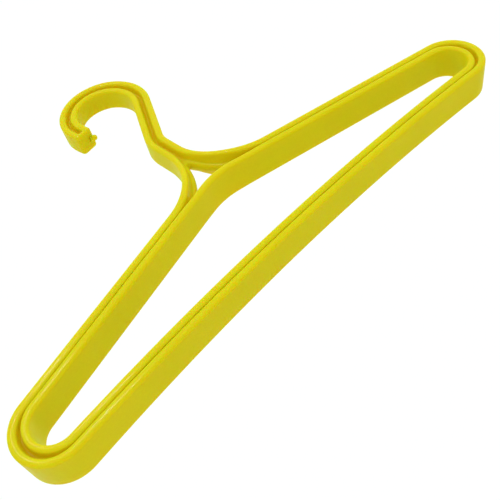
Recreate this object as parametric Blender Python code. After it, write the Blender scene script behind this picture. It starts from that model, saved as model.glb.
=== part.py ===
"""Moulded plastic hanger for wet diving gear: a double-walled triangle under a question-mark hook.

The real thing is one injection moulding: an outer wall that runs all the way round the triangle,
up the neck and round the hook, an inner band that lines the triangle, and a web at mid depth that
joins the two. Along the arms, end loops and crossbar a thick core fills most of the groove between
them. Here the moulding is drawn whole and then sawn into plain lengths, so that each length is a
simple solid.

Frame: metres, X along the crossbar, Y through the depth, Z up. The origin is the seat of the hook,
the highest point of the inside of its bowl, where a rail carries the hanger. The outlines are
worked out in a layout whose height is measured from the feet of the crossbar's arch, and are
lowered by SEAT_Z as they become solids.
"""
import math

import bmesh
import bpy
from mathutils import Vector

# ---- Driving dimensions, in metres and degrees ----
WIDTH = 0.430            # overall, end to end
BODY_DEPTH = 0.0266      # arms, end loops and crossbar
HOOK_DEPTH = 0.0186      # neck and hook
ARM_SLOPE = math.radians(14.1)
END_R = 0.0256           # outer radius of an end loop
BAR_ARCH = 0.0093        # rise of the crossbar's middle over its ends

WALL = 0.0055            # outer wall and inner band
RAIL = 0.0115            # outer wall, groove and inner band together
WEB = 0.0068             # under the neck and round the hook
CORE = 0.0206            # between the walls of the arms, end loops and crossbar
CORE_START_X = 0.042     # distance from the middle plane to the inner ends of the core
CORE_START_Z = 0.060     # height over which those ends matter
RIM_ROUND = 0.0013       # rounding of the walls' rims
RECESS_END = 0.0032      # groove where it is widest, at the end loops
BAND_END = 0.0046        # inner band where it turns the end loop
APEX_R = 0.054           # inner band's inside radius under the neck

HOOK_WIDTH = 0.0150      # neck and hook, across the two walls
NECK_R = 0.053           # sweep from the neck into each arm
KINK_Z = 0.1606          # where the neck's and the shank's centre lines meet
KINK_R = 0.0275
BOWL_R = 0.0295          # hook's centre line, crown and tip side
SHANK_SIDE_R = 0.0343    # hook's centre line, shank side
BOWL_Z = 0.2298
BLEND_ANGLE = math.radians(40)     # where the two hook radii meet
TIP_ANGLE = math.radians(188)      # where the bowl runs out into the straight tip
TIP_RUN = 0.0082         # straight length of the tip
TIP_BLOCK = 0.0036       # solid end of the hook's channel
NUB_R = 0.0024           # moulding nub on the inner edge of the hook's end face
NUB_OUT = 0.0016         # its middle beyond the end face...
NUB_IN = 0.0062          # ...and inwards from the tip's centre line
NUB_TURN = (0.15, 0.2, 0.1)

WINDOW_INSET = 0.0088    # outside of the outer wall to the window in the web under the neck
WINDOW_LEDGE = 0.0026    # web left between the window's foot and the inner band
WINDOW_TOP_R = 0.0012
WINDOW_CORNER_R = 0.0016
WINDOW_ROUND = 0.0020    # rounding of the web along the window

TAPER_FOOT_Z = 0.092     # the depth shrinks from here...
TAPER_TOP_Z = 0.137      # ...to here
SAW_GAP = 0.0003
SAW_HEIGHT = 0.034       # of the blade, across the widest rail
TIP_CUT = math.radians(4)          # cut above the hook's tip
SHANK_CUT = math.radians(-6)       # cut at the foot of the hook's shank side
NECK_TOP_Z = 0.1505
NECK_FOOT_Z = 0.1290
ARM_CUT_X = 0.050
LOOP_CUT_X = 0.184
ARC_STEP = math.radians(11)
BAR_STEPS = 12
WELD = 0.000005           # smallest distance between two vertices

# ---- Worked-out sizes ----
HALF_HOOK = HOOK_WIDTH / 2
SEAT_Z = BOWL_Z + BOWL_R - HALF_HOOK
END_X = WIDTH / 2 - END_R
ARM_UP = Vector((math.sin(ARM_SLOPE), math.cos(ARM_SLOPE)))       # right arm's outward normal
ARM_DOWN = Vector((math.cos(ARM_SLOPE), -math.sin(ARM_SLOPE)))    # along the right arm, outward
BAR_R = (END_X ** 2 + BAR_ARCH ** 2) / (2 * BAR_ARCH)
BAR_CENTRE = Vector((0.0, BAR_ARCH - BAR_R))
END_CENTRE = Vector((END_X, BAR_CENTRE.y + math.sqrt((BAR_R + END_R) ** 2 - END_X ** 2)))
ARM_LINE = ARM_UP.dot(END_CENTRE) + END_R                         # distance of the arm's top line
BOWL_CENTRE = Vector((0.0, BOWL_Z))
SHANK_SIDE_CENTRE = BOWL_CENTRE + (BOWL_R - SHANK_SIDE_R) * Vector(
    (math.cos(BLEND_ANGLE), math.sin(BLEND_ANGLE)))

TIP_OUT = Vector((math.cos(TIP_ANGLE), math.sin(TIP_ANGLE)))
TIP_ALONG = Vector((-TIP_OUT.y, TIP_OUT.x))
TIP_END = BOWL_CENTRE + BOWL_R * TIP_OUT + TIP_RUN * TIP_ALONG
SWEEP_X = HALF_HOOK + NECK_R
SWEEP_CENTRE = Vector((SWEEP_X, (ARM_LINE + NECK_R - ARM_UP.x * SWEEP_X) / ARM_UP.y))
APEX_CENTRE = Vector((0.0, (ARM_LINE - RAIL - APEX_R) / ARM_UP.y))

YELLOW = (0.76, 0.70, 0.012, 1.0)


# ---- Outlines in the layout plane ----
def arc(centre, radius, start, end):
    """Points of an arc, both ends included."""
    steps = max(2, math.ceil(abs(end - start) / ARC_STEP))
    return [centre + radius * Vector((math.cos(a), math.sin(a)))
            for a in (start + (end - start) * i / steps for i in range(steps + 1))]


def mirrored(points):
    """The points flipped left to right and reversed, so that an outline keeps its sense."""
    return [Vector((-p.x, p.y)) for p in reversed(points)]


def end_loop(centre, radius):
    """Right end loop from the arm's line to the crossbar's arc, clockwise."""
    low = BAR_CENTRE - centre
    return arc(centre, radius, math.pi / 2 - ARM_SLOPE, math.atan2(low.y, low.x))


def bar_arc(inset, end):
    """Crossbar's edge from the right end to the left end, arched upwards."""
    right = math.atan2(end.y - BAR_CENTRE.y, end.x)
    return [BAR_CENTRE + (BAR_R + inset) * Vector((math.cos(a), math.sin(a)))
            for a in (right + (math.pi - 2 * right) * i / BAR_STEPS for i in range(1, BAR_STEPS))]


def fitted_end(inset, reach):
    """Centre and radius of the arc that touches the inset arm, the inset bar and x = reach."""
    low, high = 0.002, END_R
    for _ in range(60):
        radius = (low + high) / 2
        x = reach - radius
        centre = Vector((x, (ARM_LINE - inset - radius - ARM_UP.x * x) / ARM_UP.y))
        if (centre - BAR_CENTRE).length > BAR_R + inset + radius:
            low = radius
        else:
            high = radius
    return centre, radius


def band_outline(inset, reach, apex_radius):
    """Closed outline of the triangle's lining: two arms, an arched bar and three rounded corners."""
    centre, radius = fitted_end(inset, reach)
    loop = end_loop(centre, radius)
    top = arc(APEX_CENTRE, apex_radius, math.pi / 2 + ARM_SLOPE, math.pi / 2 - ARM_SLOPE)
    return top + loop + bar_arc(inset, loop[-1]) + mirrored(loop)


def hook_path(tip_run):
    """Centre line from the neck to the tip: points with their normals to the hook's outer side."""
    reach = Vector((0.0, KINK_Z)) - SHANK_SIDE_CENTRE
    lean = math.asin(SHANK_SIDE_R / reach.length) - math.atan2(reach.x, -reach.y)
    across = Vector((math.cos(lean), -math.sin(lean)))
    setback = KINK_R * math.tan(lean / 2)
    kink_centre = Vector((KINK_R, KINK_Z - setback))
    path = [(p, (kink_centre - p).normalized()) for p in arc(kink_centre, KINK_R, math.pi, math.pi - lean)]
    path += [(p, (p - SHANK_SIDE_CENTRE).normalized())
             for p in arc(SHANK_SIDE_CENTRE, SHANK_SIDE_R, math.atan2(across.y, across.x), BLEND_ANGLE)]
    path += [(p, (p - BOWL_CENTRE).normalized())
             for p in arc(BOWL_CENTRE, BOWL_R, BLEND_ANGLE, TIP_ANGLE)[1:]]
    end, out = path[-1]
    return path + [(end + tip_run * TIP_ALONG, out)]


def hanger_outline(inset, tip_run):
    """Closed outline of the whole hanger, clockwise from the left arm, drawn in by an inset."""
    side = HALF_HOOK - inset
    sweep = arc(SWEEP_CENTRE, NECK_R + inset, math.pi, 3 * math.pi / 2 - ARM_SLOPE)
    loop = end_loop(END_CENTRE, END_R - inset)
    path = hook_path(tip_run)
    inner = [p - side * n for p, n in path]
    outer = [p + side * n for p, n in reversed(path)]
    return (mirrored(sweep) + inner + outer + sweep + loop
            + bar_arc(inset, loop[-1]) + mirrored(loop))


def heading(a, b):
    """Angle of the direction from one point to another."""
    return math.atan2(b.y - a.y, b.x - a.x)


def window_outline():
    """Closed outline of the window, clockwise: its sides follow the sweeps and its foot the band."""
    side_r = NECK_R + WINDOW_INSET
    foot_r = APEX_R + WALL + WINDOW_LEDGE
    drop = math.sqrt((side_r + WINDOW_TOP_R) ** 2 - SWEEP_CENTRE.x ** 2)
    top = Vector((0.0, SWEEP_CENTRE.y - drop))
    between = SWEEP_CENTRE - APEX_CENTRE
    near = foot_r + WINDOW_CORNER_R
    far = side_r + WINDOW_CORNER_R
    along = (near ** 2 - far ** 2 + between.length ** 2) / (2 * between.length)
    aside = math.sqrt(near ** 2 - along ** 2)
    unit = between.normalized()
    low = APEX_CENTRE + along * unit + aside * Vector((-unit.y, unit.x))
    top_angle = heading(SWEEP_CENTRE, top) % (2 * math.pi)
    side = arc(SWEEP_CENTRE, side_r, top_angle, heading(SWEEP_CENTRE, low) % (2 * math.pi))
    corner = arc(low, WINDOW_CORNER_R, heading(low, SWEEP_CENTRE), heading(low, APEX_CENTRE))[1:-1]
    foot_angle = heading(APEX_CENTRE, low)
    foot = arc(APEX_CENTRE, foot_r, foot_angle, math.pi - foot_angle)
    crown = arc(top, WINDOW_TOP_R, 2 * math.pi - top_angle, top_angle - math.pi)[1:-1]
    return side + corner + foot + mirrored(corner) + mirrored(side) + crown


# ---- Solids ----
def new_collection(name):
    collection = bpy.data.collections.new(name)
    bpy.context.scene.collection.children.link(collection)
    return collection


def move_to(item, collection):
    for holder in list(item.users_collection):
        holder.objects.unlink(item)
    collection.objects.link(item)


def plate(name, outlines, depth, rounding, collection):
    """A flat plate in the XZ plane, centred on Y: the first outline is its edge, the others its holes.

    The rims are rounded by the curve's own bevel, which swells the sides, so the outlines are first
    drawn in by as much.
    """
    curve = bpy.data.curves.new(name, "CURVE")
    curve.dimensions = "2D"
    curve.fill_mode = "BOTH"
    curve.extrude = depth / 2 - rounding
    curve.bevel_depth = rounding
    curve.bevel_resolution = 1
    curve.offset = -rounding
    holes = [list(reversed(outline)) for outline in outlines[1:]]
    for outline in [outlines[0]] + holes:
        spline = curve.splines.new("POLY")
        spline.points.add(len(outline) - 1)
        spline.use_cyclic_u = True
        for point, place in zip(spline.points, outline):
            point.co = (place.x, place.y - SEAT_Z, 0.0, 1.0)
    drawn = bpy.data.objects.new(name + "_curve", curve)
    drawn.rotation_euler = (math.pi / 2, 0.0, 0.0)
    bpy.context.scene.collection.objects.link(drawn)
    bpy.context.view_layer.update()
    mesh = bpy.data.meshes.new_from_object(drawn.evaluated_get(bpy.context.evaluated_depsgraph_get()))
    mesh.transform(drawn.matrix_world)
    bpy.data.objects.remove(drawn)
    solid = bmesh.new()
    solid.from_mesh(mesh)
    bmesh.ops.remove_doubles(solid, verts=solid.verts, dist=WELD)
    solid.to_mesh(mesh)
    solid.free()
    plain = bpy.data.objects.new(name, mesh)
    collection.objects.link(plain)
    return plain


def taper_depth(wall):
    """Draws the rims in towards mid depth above the arms, down to the hook's depth."""
    solid = bmesh.new()
    solid.from_mesh(wall.data)
    for height in (TAPER_FOOT_Z, TAPER_TOP_Z):
        bmesh.ops.bisect_plane(solid, geom=solid.verts[:] + solid.edges[:] + solid.faces[:],
                               plane_co=(0.0, 0.0, height - SEAT_Z), plane_no=(0.0, 0.0, 1.0))
    bmesh.ops.triangulate(solid, faces=solid.faces)
    for vert in solid.verts:
        share = (vert.co.z + SEAT_Z - TAPER_FOOT_Z) / (TAPER_TOP_Z - TAPER_FOOT_Z)
        draw_in = min(max(share, 0.0), 1.0) * (BODY_DEPTH - HOOK_DEPTH) / 2
        vert.co.y -= math.copysign(draw_in, vert.co.y)
    solid.to_mesh(wall.data)
    solid.free()


def apply_boolean(target, tool, operation):
    """Joins or cuts the target with the tool and keeps the result as the target's mesh."""
    modifier = target.modifiers.new(operation.lower(), "BOOLEAN")
    modifier.operation = operation
    modifier.object = tool
    modifier.solver = "EXACT"
    bpy.context.view_layer.update()
    shaped = bpy.data.meshes.new_from_object(target.evaluated_get(bpy.context.evaluated_depsgraph_get()))
    target.modifiers.clear()
    target.data = shaped
    solid = bmesh.new()
    solid.from_mesh(shaped)
    bmesh.ops.remove_doubles(solid, verts=solid.verts, dist=WELD)
    bmesh.ops.holes_fill(solid, edges=[edge for edge in solid.edges if edge.is_boundary], sides=3)
    solid.to_mesh(shaped)
    solid.free()


def hide_tool(tool):
    tool.hide_render = True
    tool.display_type = "WIRE"


def outer_wall(tools):
    outlines = [hanger_outline(0.0, TIP_RUN), hanger_outline(WALL, TIP_RUN - TIP_BLOCK)]
    wall = plate("outer_wall", outlines, BODY_DEPTH, RIM_ROUND, tools)
    taper_depth(wall)
    return wall


def inner_band(tools):
    reach = WIDTH / 2 - WALL - RECESS_END
    outside = band_outline(RAIL - WALL, reach, APEX_R + WALL)
    inside = band_outline(RAIL, reach - BAND_END, APEX_R)
    return plate("inner_band", [outside, inside], BODY_DEPTH, RIM_ROUND, tools)


def rail_filling(name, thickness, rounding, holes, tools):
    """A plate with its edges buried in the middle of the two walls."""
    reach = WIDTH / 2 - WALL - RECESS_END - BAND_END / 2
    outlines = [hanger_outline(WALL / 2, TIP_RUN - TIP_BLOCK / 2),
                band_outline(RAIL - WALL / 2, reach, APEX_R + WALL / 2)]
    return plate(name, outlines + holes, thickness, rounding, tools)


def block(name, middle, size, tools):
    bpy.ops.mesh.primitive_cube_add(size=1.0, location=middle)
    item = bpy.context.object
    item.name = name
    item.dimensions = size
    move_to(item, tools)
    return item


def rail_core(tools):
    """The thick filling of the groove, which stops short of the web under the neck."""
    core = rail_filling("core", CORE, 0.0, [], tools)
    height = BOWL_Z + 2 * BOWL_R - CORE_START_Z
    middle = (0.0, 0.0, CORE_START_Z + height / 2 - SEAT_Z)
    opening = block("core_opening", middle, (2 * CORE_START_X, 2 * BODY_DEPTH, height), tools)
    apply_boolean(core, opening, "DIFFERENCE")
    hide_tool(opening)
    return core


def end_nub(tools):
    """Small ball left by the moulding gate on the hook's end face."""
    place = TIP_END + NUB_OUT * TIP_ALONG - NUB_IN * TIP_OUT
    bpy.ops.mesh.primitive_uv_sphere_add(segments=20, ring_count=10, radius=NUB_R,
                                         location=(place.x, 0.0, place.y - SEAT_Z))
    nub = bpy.context.object
    nub.name = "end_nub"
    nub.rotation_euler = NUB_TURN
    move_to(nub, tools)
    return nub


# ---- Saw cuts: a point on the cut's middle and the direction along the rail there ----
def on_arm(side, distance):
    """Point in the middle of an arm's rail at a distance from the middle plane, with its direction."""
    top = Vector((distance, (ARM_LINE - ARM_UP.x * distance) / ARM_UP.y))
    middle = top - ARM_UP * RAIL / 2
    return Vector((side * middle.x, middle.y)), Vector((side * ARM_DOWN.x, ARM_DOWN.y))


def on_bar(side, distance):
    angle = math.acos(distance / BAR_R)
    out = Vector((math.cos(angle), math.sin(angle)))
    middle = BAR_CENTRE + out * (BAR_R + RAIL / 2)
    return Vector((side * middle.x, middle.y)), Vector((side * out.y, -out.x))


def on_hook(centre, radius, angle):
    out = Vector((math.cos(angle), math.sin(angle)))
    return centre + out * radius, Vector((-out.y, out.x))


SAW_CUTS = [
    on_hook(BOWL_CENTRE, BOWL_R, TIP_ANGLE - TIP_CUT),
    on_hook(SHANK_SIDE_CENTRE, SHANK_SIDE_R, SHANK_CUT),
    (Vector((0.0, NECK_TOP_Z)), Vector((0.0, 1.0))),
    (Vector((0.0, NECK_FOOT_Z)), Vector((0.0, 1.0))),
] + [cut(side, distance) for side in (-1, 1)
     for cut, distance in ((on_arm, ARM_CUT_X), (on_arm, LOOP_CUT_X), (on_bar, LOOP_CUT_X))]

# Each length's name and a point inside its outer wall's side of the layout.
LENGTHS = {
    "hook_tip": Vector((-0.0285, 0.2210)),
    "hook_bow": Vector((0.0, BOWL_Z + BOWL_R)),
    "hook_shank": Vector((0.0150, 0.1880)),
    "neck": Vector((0.0, 0.1400)),
    "yoke": Vector((0.0, 0.1050)),
    "left_arm": Vector((-0.1170, 0.0640)),
    "right_arm": Vector((0.1170, 0.0640)),
    "left_end_loop": Vector((-0.2040, 0.0260)),
    "right_end_loop": Vector((0.2040, 0.0260)),
    "crossbar": Vector((0.0, 0.0150)),
}


def saw_blade(place, along, tools):
    """A thin upright slab across the rail."""
    middle = (place.x, 0.0, place.y - SEAT_Z)
    blade = block("saw_blade", middle, (SAW_GAP, 2 * BODY_DEPTH, SAW_HEIGHT), tools)
    blade.rotation_euler = (0.0, -math.atan2(along.y, along.x), 0.0)
    hide_tool(blade)
    return blade


def loose_pieces(solid):
    """The connected groups of faces of a bmesh."""
    left = set(solid.verts)
    groups = []
    while left:
        reached = {left.pop()}
        waiting = list(reached)
        while waiting:
            vert = waiting.pop()
            for edge in vert.link_edges:
                other = edge.other_vert(vert)
                if other in left:
                    left.discard(other)
                    reached.add(other)
                    waiting.append(other)
        groups.append(reached)
    return groups


def yellow_plastic(name):
    material = bpy.data.materials.new(name)
    material.use_nodes = True
    shader = material.node_tree.nodes["Principled BSDF"]
    shader.inputs["Base Color"].default_value = YELLOW
    shader.inputs["Roughness"].default_value = 0.3
    shader.inputs["Metallic"].default_value = 0.0
    material.diffuse_color = YELLOW
    return material


def length_object(name, solid, keep, collection):
    """One sawn length as its own object, with its own material."""
    piece = solid.copy()
    piece.verts.ensure_lookup_table()
    drop = [v for v in piece.verts if v.index not in keep]
    bmesh.ops.delete(piece, geom=drop, context="VERTS")
    mesh = bpy.data.meshes.new(name)
    piece.to_mesh(mesh)
    piece.free()
    mesh.shade_smooth()
    mesh.set_sharp_from_angle(angle=math.radians(40))
    mesh.materials.clear()
    mesh.materials.append(yellow_plastic(name))
    item = bpy.data.objects.new(name, mesh)
    collection.objects.link(item)
    return item


def nearest_length(solid, group):
    """The name of the length that this group of vertices belongs to."""
    low = Vector((min(v.co.x for v in group), min(v.co.z for v in group) + SEAT_Z))
    high = Vector((max(v.co.x for v in group), max(v.co.z for v in group) + SEAT_Z))
    middle = (low + high) / 2
    return min(LENGTHS, key=lambda name: (LENGTHS[name] - middle).length)


def build():
    for item in list(bpy.data.objects):
        bpy.data.objects.remove(item)
    hanger = new_collection("moulded_hanger")
    tools = new_collection("cutters")
    whole = outer_wall(tools)
    web = rail_filling("web", WEB, WINDOW_ROUND, [window_outline()], tools)
    for part in (end_nub(tools), inner_band(tools), web, rail_core(tools)):
        apply_boolean(whole, part, "UNION")
        hide_tool(part)
    for place, along in SAW_CUTS:
        apply_boolean(whole, saw_blade(place, along, tools), "DIFFERENCE")
    whole.name = "whole_moulding"
    hide_tool(whole)
    solid = bmesh.new()
    solid.from_mesh(whole.data)
    bmesh.ops.triangulate(solid, faces=solid.faces)
    solid.verts.index_update()
    for group in loose_pieces(solid):
        length_object(nearest_length(solid, group), solid, {v.index for v in group}, hanger)
    solid.free()


build()
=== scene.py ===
"""Studio scene of the moulded hanger.

The hanger is one seamless moulding, so one fine mesh stands for all of the lengths that the frame
is sawn into. It is lofted from closed outlines: each wall is a stack of rings that climbs from the
web over a softly crowned rim and down the other side, and the web is filled in between.

Layout coordinates are X and the height above the feet of the crossbar's arch; the frame's height
is SEAT_Z less.
"""
import math

import bmesh
import bpy
import numpy as np
from mathutils import Matrix, Vector
from mathutils.geometry import delaunay_2d_cdt


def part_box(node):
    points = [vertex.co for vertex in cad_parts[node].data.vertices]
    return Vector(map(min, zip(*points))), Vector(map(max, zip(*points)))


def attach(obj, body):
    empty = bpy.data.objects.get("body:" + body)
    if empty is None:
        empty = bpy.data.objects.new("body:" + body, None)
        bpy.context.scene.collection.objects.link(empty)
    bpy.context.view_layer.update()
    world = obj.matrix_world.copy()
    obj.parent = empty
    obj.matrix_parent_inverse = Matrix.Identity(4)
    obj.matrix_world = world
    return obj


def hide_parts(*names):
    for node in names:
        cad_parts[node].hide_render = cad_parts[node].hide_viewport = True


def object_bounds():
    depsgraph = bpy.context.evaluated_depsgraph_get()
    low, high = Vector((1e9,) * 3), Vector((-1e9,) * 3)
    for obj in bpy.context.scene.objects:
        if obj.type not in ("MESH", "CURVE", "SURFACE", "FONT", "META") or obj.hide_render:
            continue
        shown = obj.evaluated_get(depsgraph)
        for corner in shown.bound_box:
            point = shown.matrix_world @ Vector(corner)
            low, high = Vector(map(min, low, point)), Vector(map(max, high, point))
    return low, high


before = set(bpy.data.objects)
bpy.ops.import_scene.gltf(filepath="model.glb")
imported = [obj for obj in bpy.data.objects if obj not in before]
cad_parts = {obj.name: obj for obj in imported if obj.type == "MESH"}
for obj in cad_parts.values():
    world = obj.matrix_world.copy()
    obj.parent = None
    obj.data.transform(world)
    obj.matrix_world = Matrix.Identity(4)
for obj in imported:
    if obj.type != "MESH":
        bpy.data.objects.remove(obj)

cad_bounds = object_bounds()

# ---- Dimensions of the moulding, in metres and radians ----
WIDTH = cad_bounds[1][0] - cad_bounds[0][0]
BODY_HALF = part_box("crossbar")[1].y     # half depth of the triangle...
HOOK_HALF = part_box("hook_bow")[1].y     # ...and of the hook
ARM_SLOPE = math.radians(14.1)
END_R = 0.0256               # outside of the end loops
BAR_ARCH = 0.0093            # rise of the crossbar's lower edge at its middle
WALL = 0.0055                # thickness of the outer wall and of the inner band
RAIL = 0.0115                # both together with the groove between them
WEB_HALF = 0.0038            # half thickness of the web and of the floors of wide grooves
RECESS_END = 0.0032          # groove at the outermost point of an end loop
BAND_END = 0.0046            # thickness of the inner band there
APEX_R = 0.054               # inside of the triangle's top corner
HALF_HOOK = 0.0075           # half width of the hook and the neck
NECK_R = 0.053               # sweeps from the neck into the arms
KINK_Z = 0.1606              # bend between the upright neck and the leaning shank
KINK_R = 0.0275
BOWL_R = 0.0295              # centre line of the hook's crown and tip side...
SHANK_SIDE_R = 0.0343        # ...and of its shank side
BOWL_Z = 0.2298
SEAT_Z = BOWL_Z + BOWL_R - HALF_HOOK
BLEND_ANGLE = math.radians(40)          # where the two radii meet, from +X round the bowl
TIP_ANGLE = math.radians(188)           # where the bowl ends and the straight tip starts
TIP_RUN = 0.0082             # length of the straight tip
TIP_BLOCK = 0.0036           # solid plastic between the tip's end and its channel
TIP_CORNER = 0.32            # rounding of the tip's end, as a share of its half width
CHANNEL_CORNER = 0.75        # the same for the end of its channel
NUB_R = 0.0024
NUB_OUT = 0.0016             # middle of the nub beyond the tip's end...
NUB_IN = 0.0062              # ...and inwards from its centre line
NUB_ROOT = ((-1.10, 1.35), (-0.95, 1.12),   # flare under the ball: along its axis...
            (-0.80, 0.93), (-0.62, 0.82))   # ...and out from it, in radii of the ball
NUB_BALL_FROM = math.radians(-34)       # where the ball starts above its root
NUB_STEPS = 24
WINDOW_INSET = 0.0088        # outside of the wall to the window in the web
WINDOW_LEDGE = 0.0026        # web left along the window's foot
WINDOW_TOP_R = 0.0012
WINDOW_CORNER_R = 0.0016
WINDOW_ROUND = 0.0020        # width over which the web rounds off along the window
TAPER_FOOT_Z = 0.092         # heights between which the depth goes from the body's to the hook's
TAPER_TOP_Z = 0.137

# ---- Shape of the rims and the grooves ----
RIM_DROP = 0.0021            # height over which a rim rounds off
SEAM_DROP = 0.0013           # the same on its side towards a groove as narrow as a seam
SEAM = 0.0010                # widths between which a groove grows from a seam...
CHANNEL = 0.0030             # ...to a channel
RIM_POWER = 2.2              # 2 is an ellipse, more is squarer
RIM_STEPS = 16
FLAT_RINGS = (0.0, 0.0012, 0.0040)      # rings on a wall's open side, from mid depth
FLAT_END = 0.0006            # one more ring, this far below the rim
WALL_GIVE = 0.12             # share of its width that a front rim gives up beside a wide groove
BAND_GIVE = -0.08            # the same for the inner band, whose rim leans over the web...
BACK_GIVE = 0.42             # ...and for both rims at the back
GIVE_FROM = 0.0045           # groove width from which a rim gives up any of that...
GIVE_TO = 0.0090             # ...and all of it
FILLET = 0.0030              # largest fillet between a wall and a groove's floor
FILLET_SHARE = 0.42          # of the groove's width, where that is less...
FILLET_ROOM = 0.8            # ...and of the distance to the rounding along the window
FILLET_STEPS = 8
STEEP = 0.0002               # upright wall left at least between a rim and its fillet
FLOOR_DROP = 0.0001          # a groove's floor below the rounding of its rims...
FLOOR_SLOPE = 1.1            # ...and how much deeper it lies for each unit of its width
SHADE_DEPTH = 0.0055         # groove depth from which its floor takes its full painted shade
SHADE_NONE = 0.0090          # groove width from which it takes none
LIP_STEPS = 8

# ---- Working numbers ----
FACING = 0.8                 # cosine of the cone in which a groove's other side is looked for
TOUCHING = 0.00005           # points nearer than this are on the same side of the groove
OPEN = 0.04                  # groove width where there is no other side
HAIR = 0.0001                # a step small enough to tell a direction from
MM = 1000.0                  # in a metre; flat areas are divided in millimetres
MERGE = 1e-6                 # and points nearer than this, in millimetres, are one
WITHIN = 1                   # only triangles that the loops enclose
HALVINGS = 60                # enough to settle a bisection

# ---- Worked-out sizes ----
END_X = WIDTH / 2 - END_R
ARM_UP = np.array((math.sin(ARM_SLOPE), math.cos(ARM_SLOPE)))     # out of the right arm's top
BAR_R = (END_X ** 2 + BAR_ARCH ** 2) / (2 * BAR_ARCH)
BAR_CENTRE = np.array((0.0, BAR_ARCH - BAR_R))
END_CENTRE = np.array((END_X, BAR_CENTRE[1] + math.sqrt((BAR_R + END_R) ** 2 - END_X ** 2)))
ARM_LINE = ARM_UP @ END_CENTRE + END_R      # how far out that top lies
BOWL_CENTRE = np.array((0.0, BOWL_Z))
SHANK_SIDE_CENTRE = BOWL_CENTRE + (BOWL_R - SHANK_SIDE_R) * np.array(
    (math.cos(BLEND_ANGLE), math.sin(BLEND_ANGLE)))
TIP_OUT = np.array((math.cos(TIP_ANGLE), math.sin(TIP_ANGLE)))      # out of the bowl at the tip
TIP_ALONG = np.array((-TIP_OUT[1], TIP_OUT[0]))     # the way the tip runs on
TIP_START = BOWL_CENTRE + BOWL_R * TIP_OUT
NUB_LEAN = 0.75 * TIP_ALONG - 0.65 * TIP_OUT        # the nub points onwards and inwards
SWEEP_CENTRE = np.array((HALF_HOOK + NECK_R,
                         (ARM_LINE + NECK_R - ARM_UP[0] * (HALF_HOOK + NECK_R)) / ARM_UP[1]))
BAND_REACH = WIDTH / 2 - WALL - RECESS_END          # X of the band's groove side at its end
APEX_CENTRE = np.array((0.0, (ARM_LINE - RAIL - APEX_R) / ARM_UP[1]))


# ---- Outlines in the layout plane: arrays of points, the same number at every inset ----
def arc(centre, radius, start, end, steps):
    angles = np.linspace(start, end, steps + 1)
    return centre + radius * np.stack((np.cos(angles), np.sin(angles)), axis=1)


def straight(a, b, steps):
    """The inner points of a straight line, without its ends."""
    shares = np.linspace(0.0, 1.0, steps + 1)[1:-1, None]
    return a + (b - a) * shares


def mirrored(points):
    return points[::-1] * (-1.0, 1.0)


def loop_arc(centre, radius):
    low = BAR_CENTRE - centre
    return arc(centre, radius, math.pi / 2 - ARM_SLOPE, math.atan2(low[1], low[0]), steps=36)


def bar_arc(end):
    right = math.atan2(end[1] - BAR_CENTRE[1], end[0])
    radius = np.linalg.norm(end - BAR_CENTRE)
    return arc(BAR_CENTRE, radius, right, math.pi - right, steps=72)[1:-1]


def hook_path():
    """Centre line from the neck to the start of the tip, with its normals to the outer side."""
    reach = np.array((0.0, KINK_Z)) - SHANK_SIDE_CENTRE
    lean = math.asin(SHANK_SIDE_R / np.linalg.norm(reach)) - math.atan2(reach[0], -reach[1])
    kink_centre = np.array((KINK_R, KINK_Z - KINK_R * math.tan(lean / 2)))
    kink = arc(kink_centre, KINK_R, math.pi, math.pi - lean, steps=12)
    shank_side = arc(SHANK_SIDE_CENTRE, SHANK_SIDE_R, -lean, BLEND_ANGLE, steps=22)
    bowl = arc(BOWL_CENTRE, BOWL_R, BLEND_ANGLE, TIP_ANGLE, steps=44)[1:]
    shank = straight(kink[-1], shank_side[0], steps=6)
    points = np.concatenate((kink, shank, shank_side, bowl))
    across = np.array((math.cos(lean), -math.sin(lean)))
    normals = np.concatenate(((kink_centre - kink) / KINK_R,
                              np.repeat(across[None], len(shank), axis=0),
                              (shank_side - SHANK_SIDE_CENTRE) / SHANK_SIDE_R,
                              (bowl - BOWL_CENTRE) / BOWL_R))
    return points, normals


HOOK_POINTS, HOOK_NORMALS = hook_path()


def hook_outline(inset):
    """From the neck's left side round the tip to its right side."""
    side = HALF_HOOK - inset
    corner = side * (TIP_CORNER + (CHANNEL_CORNER - TIP_CORNER) * min(inset / WALL, 1.0))
    end = TIP_START + (TIP_RUN - inset * TIP_BLOCK / WALL - corner) * TIP_ALONG
    inner = HOOK_POINTS - side * HOOK_NORMALS
    outer = (HOOK_POINTS + side * HOOK_NORMALS)[::-1]
    inner_corner = arc(end - (side - corner) * TIP_OUT, corner,
                       TIP_ANGLE + math.pi, TIP_ANGLE + math.pi / 2, steps=8)
    outer_corner = arc(end + (side - corner) * TIP_OUT, corner,
                       TIP_ANGLE + math.pi / 2, TIP_ANGLE, steps=8)
    return np.concatenate((inner, straight(inner[-1], inner_corner[0], steps=4), inner_corner,
                           straight(inner_corner[-1], outer_corner[0], steps=6), outer_corner,
                           straight(outer_corner[-1], outer[0], steps=4), outer))


def wall_outline(inset):
    """Closed outline of the whole hanger, drawn in by an inset."""
    sweep = arc(SWEEP_CENTRE, NECK_R + inset, math.pi, 3 * math.pi / 2 - ARM_SLOPE, steps=30)
    loop = loop_arc(END_CENTRE, END_R - inset)
    hook = hook_outline(inset)
    arm = straight(sweep[-1], loop[0], steps=48)
    return np.concatenate((mirrored(sweep), straight(mirrored(sweep)[-1], hook[0], steps=4), hook,
                           straight(hook[-1], sweep[0], steps=4), sweep, arm, loop,
                           bar_arc(loop[-1]), mirrored(loop), mirrored(arm)))


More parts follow.
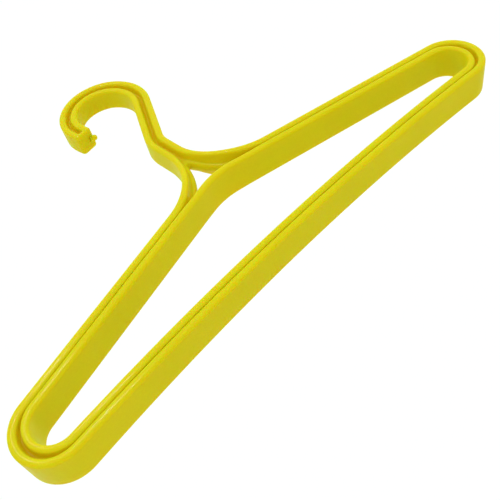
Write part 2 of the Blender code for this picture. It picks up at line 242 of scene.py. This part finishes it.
def fitted_end(inset, reach):
    """Centre and radius of the arc that touches the inset arm, the inset bar and x = reach."""
    low, high = 0.0, END_R
    for _ in range(HALVINGS):
        radius = (low + high) / 2
        x = reach - radius
        centre = np.array((x, (ARM_LINE - inset - radius - ARM_UP[0] * x) / ARM_UP[1]))
        if np.linalg.norm(centre - BAR_CENTRE) > BAR_R + inset + radius:
            low = radius
        else:
            high = radius
    return centre, radius


def band_outline(step_in):
    """Closed outline of the inner band, from its groove side (0) to its triangle side (WALL).

    It thins towards its ends. A step below 0 lies in the groove, the same distance out all round.
    """
    inset = RAIL - WALL + step_in
    reach = BAND_REACH - step_in * (BAND_END / WALL if step_in > 0 else 1.0)
    loop = loop_arc(*fitted_end(inset, reach))
    top = arc(APEX_CENTRE, APEX_R + WALL - step_in,
              math.pi / 2 + ARM_SLOPE, math.pi / 2 - ARM_SLOPE, steps=20)
    arm = straight(top[-1], loop[0], steps=56)
    return np.concatenate((top, arm, loop, bar_arc(loop[-1]), mirrored(loop), mirrored(arm)))


def heading(a, b):
    """Angle of the direction from one point to another."""
    return math.atan2(b[1] - a[1], b[0] - a[0])


def crossing(centre_a, radius_a, centre_b, radius_b):
    """Where two circles cross, on the left as seen from the second centre towards the first."""
    between = centre_a - centre_b
    gap = np.linalg.norm(between)
    along = (radius_b ** 2 - radius_a ** 2 + gap ** 2) / (2 * gap)
    off = math.sqrt(radius_b ** 2 - along ** 2)
    unit = between / gap
    return centre_b + along * unit + off * np.array((-unit[1], unit[0]))


def window_outline(grow):
    """Closed outline of the window: two sides that follow the sweeps and a foot along the band."""
    side_r = NECK_R + WINDOW_INSET - grow
    foot_r = APEX_R + WALL + WINDOW_LEDGE - grow
    top_r = WINDOW_TOP_R + grow
    top = np.array((0.0, SWEEP_CENTRE[1]
                    - math.sqrt((side_r + top_r) ** 2 - SWEEP_CENTRE[0] ** 2)))
    top_angle = heading(SWEEP_CENTRE, top) % (2 * math.pi)
    corner_r = WINDOW_CORNER_R + grow
    low = crossing(SWEEP_CENTRE, side_r + corner_r, APEX_CENTRE, foot_r + corner_r)
    low_angle = heading(SWEEP_CENTRE, low) % (2 * math.pi)
    right = arc(SWEEP_CENTRE, side_r, top_angle, low_angle, steps=24)
    low_corner = arc(low, corner_r, heading(low, SWEEP_CENTRE), heading(low, APEX_CENTRE), steps=10)
    foot_angle = heading(APEX_CENTRE, low)
    foot = arc(APEX_CENTRE, foot_r, foot_angle, math.pi - foot_angle, steps=20)
    top_corner = arc(top, top_r, 2 * math.pi - top_angle, top_angle - math.pi, steps=12)
    return np.concatenate((right, low_corner[1:-1], foot, mirrored(low_corner[1:-1]),
                           mirrored(right), top_corner[1:-1]))


# ---- Lofting ----
def share_between(value, low, high):
    """How far a value is on its way from low to high, from 0 to 1."""
    return np.clip((value - low) / (high - low), 0.0, 1.0)


def eased(share):
    """The same share, starting and stopping gently."""
    return share * share * (3 - 2 * share)


def half_depth(height):
    taper = eased(share_between(height, TAPER_FOOT_Z, TAPER_TOP_Z))
    return BODY_HALF + (HOOK_HALF - BODY_HALF) * taper


def dense(outline, spacing=0.0002):
    """A closed outline with points close together."""
    ahead = np.roll(outline, -1, axis=0)
    pieces = []
    for a, b in zip(outline, ahead):
        steps = max(1, math.ceil(np.linalg.norm(b - a) / spacing))
        pieces.append(a + (b - a) * np.linspace(0.0, 1.0, steps, endpoint=False)[:, None])
    return np.concatenate(pieces)


def gap_to(points, outline):
    """Distance from each point to the nearest point of an outline."""
    return np.array([np.min(np.hypot(*(outline - point).T)) for point in points])


def groove_width(points, inward, edges):
    """Distance from each point to the other side of the groove that it looks into."""
    widths = []
    for point, direction in zip(points, inward):
        away = edges - point
        distance = np.hypot(*away.T)
        facing = (away @ direction > FACING * distance) & (distance > TOUCHING)
        widths.append(np.min(distance[facing], initial=OPEN))
    return np.array(widths)


def groove_drop(width):
    """Height over which a rim falls towards a groove of this width."""
    return np.interp(width, (SEAM, CHANNEL), (SEAM_DROP, RIM_DROP))


def floor_half(height, width):
    """Half thickness of the plastic left under a groove of this width."""
    sunk = groove_drop(width) + FLOOR_DROP + FLOOR_SLOPE * width
    return np.maximum(WEB_HALF, half_depth(height) - sunk)


def rim_across():
    """A rim's profile: points across it from -1 to 1, with their drop below its top from 0 to 1."""
    angles = np.linspace(0.0, math.pi, RIM_STEPS + 1)
    across = -np.sign(np.cos(angles)) * np.abs(np.cos(angles)) ** (2 / RIM_POWER)
    drop = 1.0 - np.abs(np.sin(angles)) ** (2 / RIM_POWER)
    return list(zip(across, drop))


def half_rings(outline, thickness, grooves, give):
    """Rings of half a wall, from the middle of its open side, over the rim, to the web.

    outline gives the points at a depth into the wall, which is 0 on the open side. Each ring holds
    its points, their distances from mid depth and their painted shade: how deep in a narrow
    groove they are, from 0 to 1, which the material paints as a darker, warmer colour.
    """
    rings = []

    def ring(points, distance, painted_shade=0.0):
        rings.append((points, np.broadcast_to(distance, len(points)),
                      np.broadcast_to(painted_shade, len(points))))

    open_side = outline(0.0)
    web_side = outline(thickness)
    beyond = (outline(thickness + HAIR) - web_side) / HAIR
    inward = beyond / np.linalg.norm(beyond, axis=1)[:, None]
    width = groove_width(web_side, inward, grooves)
    ground = floor_half(web_side[:, 1], width)
    web_drop = groove_drop(width)
    # The floor's room beside the window, for each point and its two neighbours.
    room = gap_to(web_side, dense(window_outline(WINDOW_ROUND)))
    room = np.minimum(room, np.minimum(np.roll(room, 1), np.roll(room, -1)))
    upright = half_depth(web_side[:, 1]) - web_drop - ground
    fillet = np.minimum(FILLET, FILLET_SHARE * width)
    fillet = np.minimum(fillet, np.minimum(FILLET_ROOM * room, upright - STEEP))
    rim_end = 1.0 - give * eased(share_between(width, GIVE_FROM, GIVE_TO))
    across_wall = web_side - open_side
    top = half_depth(open_side[:, 1])
    for distance in FLAT_RINGS:
        ring(open_side, distance)
    ring(open_side, top - RIM_DROP - FLAT_END)
    for across, drop in rim_across():
        points = open_side + across_wall * (rim_end * (across + 1) / 2)[:, None]
        fall = web_drop if across > 0 else RIM_DROP
        ring(points, half_depth(points[:, 1]) - fall * drop)
    slope = thickness * (1 - rim_end) + fillet      # from the rim's end to the fillet's
    rise = half_depth(points[:, 1]) - web_drop - ground
    # Painted shade: fillets deep in a narrow groove get a share that the material turns into a
    # darker, warmer colour.
    shade = share_between(rise + web_drop, 0.0, SHADE_DEPTH)
    shade *= share_between(width, SHADE_NONE, GIVE_FROM)
    for angle in np.linspace(0.0, math.pi / 2, FILLET_STEPS + 1)[1:]:
        into = slope * (1 - math.cos(angle)) - (slope - fillet)
        ring(web_side + beyond * into[:, None], ground + rise * (1 - math.sin(angle)),
             shade * math.sin(angle))
    return rings


def is_inside(point, outline):
    """Whether a closed outline goes round the point."""
    x, z = point
    ahead = np.roll(outline, -1, axis=0)
    crosses = (outline[:, 1] > z) != (ahead[:, 1] > z)
    start, end = outline[crosses], ahead[crosses]
    reach = start[:, 0] + (z - start[:, 1]) * (end[:, 0] - start[:, 0]) / (end[:, 1] - start[:, 1])
    return np.count_nonzero(reach > x) % 2 == 1


def skin(mesh, a, b):
    """Faces between two rings with the same number of vertices."""
    for i in range(len(a)):
        j = (i + 1) % len(a)
        mesh.faces.new((a[i], a[j], b[j], b[i]))


def finished(mesh, name):
    """Mesh data with its faces turned outwards and shaded smooth."""
    bmesh.ops.recalc_face_normals(mesh, faces=mesh.faces)
    data = bpy.data.meshes.new(name)
    mesh.to_mesh(data)
    mesh.free()
    data.shade_smooth()
    return data


class Moulding:
    """Collects rings of vertices and the faces between them."""

    def __init__(self):
        self.mesh = bmesh.new()
        # Per-vertex painted shade, from 0 on the rims to 1 deep in narrow grooves.
        self.painted_shade = self.mesh.verts.layers.float.new("painted_shade")

    def ring(self, points, distance, painted_shade, front):
        side = -1.0 if front else 1.0
        verts = [self.mesh.verts.new((x, side * y, z - SEAT_Z))
                 for (x, z), y in zip(points, distance)]
        for vert, share in zip(verts, painted_shade):
            vert[self.painted_shade] = share
        return verts

    def loft(self, rings):
        for a, b in zip(rings, rings[1:]):
            skin(self.mesh, a, b)

    def wall(self, outline, thickness, grooves, front_give):
        """Both halves of a wall, joined at mid depth; returns their feet on the web."""
        front = [self.ring(*ring, True)
                 for ring in half_rings(outline, thickness, grooves, front_give)]
        back = [self.ring(*ring, False)
                for ring in half_rings(outline, thickness, grooves, BACK_GIVE)[1:]]
        back = front[:1] + back
        self.loft(front)
        self.loft(back)
        return front[-1], back[-1]

    def fill(self, loops):
        """Flat triangles inside the first loop and outside the others."""
        verts = [v for loop in loops for v in loop]
        edges = []
        first = 0
        for loop in loops:
            edges += [(first + i, first + (i + 1) % len(loop)) for i in range(len(loop))]
            first += len(loop)
        flat = [Vector((v.co.x * MM, v.co.z * MM)) for v in verts]
        _, _, faces, origins, _, _ = delaunay_2d_cdt(flat, edges, [], WITHIN, MERGE)
        outlines = [np.array([(v.co.x, v.co.z) for v in loop]) for loop in loops]
        for face in faces:
            corners = [verts[origins[i][0]] for i in face]
            middle = sum((v.co for v in corners), Vector()) / 3
            within = [is_inside((middle.x, middle.z), outline) for outline in outlines]
            if within[0] and not any(within[1:]):
                self.mesh.faces.new(corners)


def moulding_mesh():
    def band_from_inside(depth):
        return band_outline(WALL - depth)

    grooves = np.concatenate((dense(wall_outline(WALL)), dense(band_outline(0.0))))
    moulding = Moulding()
    wall_feet = moulding.wall(wall_outline, WALL, grooves, WALL_GIVE)
    band_feet = moulding.wall(band_from_inside, WALL, grooves, BAND_GIVE)
    lips = []
    for front in (True, False):
        lip = lips[0][:1] if lips else []       # the halves share their ring at mid depth
        for angle in np.linspace(0.0, math.pi / 2, LIP_STEPS + 1)[len(lip):]:
            points = window_outline(WINDOW_ROUND * (1 - math.cos(angle)))
            distances = np.full(len(points), WEB_HALF * math.sin(angle))
            lip.append(moulding.ring(points, distances, np.zeros(len(points)), front))
        moulding.loft(lip)
        lips.append(lip)
    for wall_foot, band_foot, lip in zip(wall_feet, band_feet, lips):
        moulding.fill([wall_foot, band_foot, lip[-1]])
    return finished(moulding.mesh, "hanger_moulding")


def nub_mesh():
    """The ball left at the inner edge of the hook's tip, on a flared root."""
    axis = Vector((NUB_LEAN[0], 0.0, NUB_LEAN[1])).normalized()
    side = axis.cross(Vector((0.0, 1.0, 0.0)))
    other = axis.cross(side)
    place = TIP_START + (TIP_RUN + NUB_OUT) * TIP_ALONG - NUB_IN * TIP_OUT
    middle = Vector((place[0], 0.0, place[1] - SEAT_Z))
    profile = list(NUB_ROOT)
    for angle in np.linspace(NUB_BALL_FROM, math.pi / 2, 10)[:-1]:
        profile.append((math.sin(angle), math.cos(angle)))
    turns = np.linspace(0.0, 2 * math.pi, NUB_STEPS, endpoint=False)
    mesh = bmesh.new()
    rings = []
    for along, out in profile:
        rings.append([mesh.verts.new(middle + NUB_R * (along * axis + out * (
            math.cos(turn) * side + math.sin(turn) * other))) for turn in turns])
    for a, b in zip(rings, rings[1:]):
        skin(mesh, a, b)
    top = mesh.verts.new(middle + NUB_R * axis)
    for i in range(NUB_STEPS):
        mesh.faces.new((rings[-1][i], rings[-1][(i + 1) % NUB_STEPS], top))
    mesh.faces.new(rings[0][::-1])
    return finished(mesh, "hook_nub")


# ---- Material ----
PIGMENT = (0.738, 0.688, 0.0040, 1.0)
PIGMENT_CLOUD = (0.778, 0.722, 0.0060, 1.0)
PIGMENT_SPECK = (0.700, 0.640, 0.0040, 1.0)
# Painted shade: the darker, warmer colour that deep grooves are painted with.
PAINTED_GROOVE_SHADE = (0.780, 0.570, 0.0010, 1.0)
NOISE_MIDDLE = (0.3, 0.7)    # where most of a noise pattern's values lie


def noise(tree, scale, detail, roughness=0.5):
    """A noise pattern fixed to the object, in features per metre."""
    coordinates = tree.nodes.new("ShaderNodeTexCoord")
    texture = tree.nodes.new("ShaderNodeTexNoise")
    texture.inputs["Scale"].default_value = scale
    texture.inputs["Detail"].default_value = detail
    texture.inputs["Roughness"].default_value = roughness
    tree.links.new(coordinates.outputs["Object"], texture.inputs["Vector"])
    return texture.outputs["Fac"]


def remap(tree, value, low, high, source=NOISE_MIDDLE):
    """A value mapped from its source range to the range from low to high, and held there."""
    node = tree.nodes.new("ShaderNodeMapRange")
    node.inputs["From Min"].default_value = source[0]
    node.inputs["From Max"].default_value = source[1]
    node.inputs["To Min"].default_value = low
    node.inputs["To Max"].default_value = high
    tree.links.new(value, node.inputs["Value"])
    return node.outputs["Result"]


def blend_colours(tree, factor, first, second):
    """first and second are colours or the outputs of earlier nodes."""
    node = tree.nodes.new("ShaderNodeMix")
    node.data_type = "RGBA"
    tree.links.new(factor, node.inputs["Factor"])
    for name, colour in (("A", first), ("B", second)):
        socket = next(s for s in node.inputs if s.name == name and s.type == "RGBA")
        if isinstance(colour, tuple):
            socket.default_value = colour
        else:
            tree.links.new(colour, socket)
    return next(s for s in node.outputs if s.type == "RGBA")


def bump(tree, height, strength, distance):
    node = tree.nodes.new("ShaderNodeBump")
    node.inputs["Strength"].default_value = strength
    node.inputs["Distance"].default_value = distance
    tree.links.new(height, node.inputs["Height"])
    return node


def yellow_plastic():
    """Clouded pigment, painted shade as a darker, warmer colour in the grooves, a slow ripple and a
    faint orange peel.
    """
    material = bpy.data.materials.new("yellow_plastic")
    material.use_nodes = True
    tree = material.node_tree
    shader = tree.nodes["Principled BSDF"]
    cloud = remap(tree, noise(tree, 22.0, 3.0), 0.0, 1.0)
    colour = blend_colours(tree, cloud, PIGMENT, PIGMENT_CLOUD)
    speck = remap(tree, noise(tree, 700.0, 2.0), 0.0, 0.5)
    colour = blend_colours(tree, speck, colour, PIGMENT_SPECK)
    # Painted shade: the mesh's per-vertex share darkens the colour towards orange in the grooves.
    painted_shade = tree.nodes.new("ShaderNodeAttribute")
    painted_shade.attribute_name = "painted_shade"
    colour = blend_colours(tree, painted_shade.outputs["Fac"], colour, PAINTED_GROOVE_SHADE)
    tree.links.new(colour, shader.inputs["Base Color"])
    tree.links.new(remap(tree, noise(tree, 60.0, 5.0, 0.6), 0.42, 0.58),
                   shader.inputs["Roughness"])
    ripple = bump(tree, noise(tree, 85.0, 1.0), 0.5, 0.00025)
    peel = bump(tree, noise(tree, 650.0, 2.0), 0.35, 0.00004)
    tree.links.new(ripple.outputs["Normal"], peel.inputs["Normal"])
    tree.links.new(peel.outputs["Normal"], shader.inputs["Normal"])
    tree.links.new(peel.outputs["Normal"], shader.inputs["Coat Normal"])
    shader.inputs["Specular IOR Level"].default_value = 0.04
    shader.inputs["Coat Weight"].default_value = 0.07
    shader.inputs["Coat Roughness"].default_value = 0.08
    shader.inputs["Subsurface Weight"].default_value = 0.8
    shader.inputs["Subsurface Radius"].default_value = (1.0, 0.28, 0.03)
    shader.inputs["Subsurface Scale"].default_value = 0.008
    return material


# ---- Stage ----
def plain(name, colour, roughness):
    material = bpy.data.materials.new(name)
    material.use_nodes = True
    shader = material.node_tree.nodes["Principled BSDF"]
    shader.inputs["Base Color"].default_value = colour
    shader.inputs["Roughness"].default_value = roughness
    return material


def set_world():
    """A studio of white walls, dimmer towards the left."""
    world = bpy.data.worlds.new("white_studio")
    bpy.context.scene.world = world
    world.use_nodes = True
    tree = world.node_tree
    background = tree.nodes["Background"]
    background.inputs["Color"].default_value = (0.945, 1.0, 0.96, 1.0)
    direction = tree.nodes.new("ShaderNodeTexCoord")
    parts = tree.nodes.new("ShaderNodeSeparateXYZ")
    tree.links.new(direction.outputs["Generated"], parts.inputs["Vector"])
    strength = remap(tree, parts.outputs["X"], 0.62, 1.06, source=(-1.0, -0.25))
    tree.links.new(strength, background.inputs["Strength"])


def softbox(name, place, aim, size, power):
    data = bpy.data.lights.new(name, "AREA")
    data.shape = "SQUARE"
    data.size = size
    data.energy = power
    light = bpy.data.objects.new(name, data)
    light.location = place
    light.rotation_euler = (Vector(aim) - Vector(place)).to_track_quat("-Z", "Y").to_euler()
    bpy.context.scene.collection.objects.link(light)
    return light


def set_camera():
    """In front of the left arm and below it, tipped over so that the hanger climbs to the right."""
    data = bpy.data.cameras.new("camera")
    data.lens = 47.25
    data.sensor_width = 36.0
    data.clip_start = 0.01
    camera = bpy.data.objects.new("camera", data)
    right = Vector((0.6885, 0.1747, -0.7039)).normalized()
    upwards = Vector((0.6307, -0.6234, 0.4621))
    back = right.cross(upwards).normalized()
    axes = Matrix((right, back.cross(right), back)).transposed().to_4x4()
    camera.matrix_world = Matrix.Translation((-0.1833, -0.3274, -0.4538)) @ axes
    bpy.context.scene.collection.objects.link(camera)
    bpy.context.scene.camera = camera


def floor():
    bpy.ops.mesh.primitive_circle_add(vertices=96, radius=9.0, fill_type="NGON",
                                      location=(0.0, 0.0, -1.7))
    disc = bpy.context.object
    disc.name = "floor"
    disc.data.materials.append(plain("pale_floor", (0.80, 0.72, 0.67, 1.0), 0.8))


def make_piece(mesh, material):
    piece = bpy.data.objects.new(mesh.name, mesh)
    bpy.context.scene.collection.objects.link(piece)
    mesh.materials.append(material)
    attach(piece, "root")
    return piece


plastic = yellow_plastic()
hanger = make_piece(moulding_mesh(), plastic)
make_piece(nub_mesh(), plastic)
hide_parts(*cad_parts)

set_camera()
set_world()
floor()
softbox("fill", (-0.15, -0.90, -0.10), (-0.05, 0.0, -0.12), size=0.6, power=0.5)
for name, place, power in (("glint_low", (-0.02, -1.32, 0.30), 5.5),
                           ("glint_high", (-0.13, -1.12, 0.59), 4.0)):
    glint = softbox(name, place, (-0.1, 0.0, -0.15), size=0.14, power=power)
    glint.visible_diffuse = False       # these only draw the highlights along the rims
bpy.context.scene.view_settings.view_transform = "Standard"
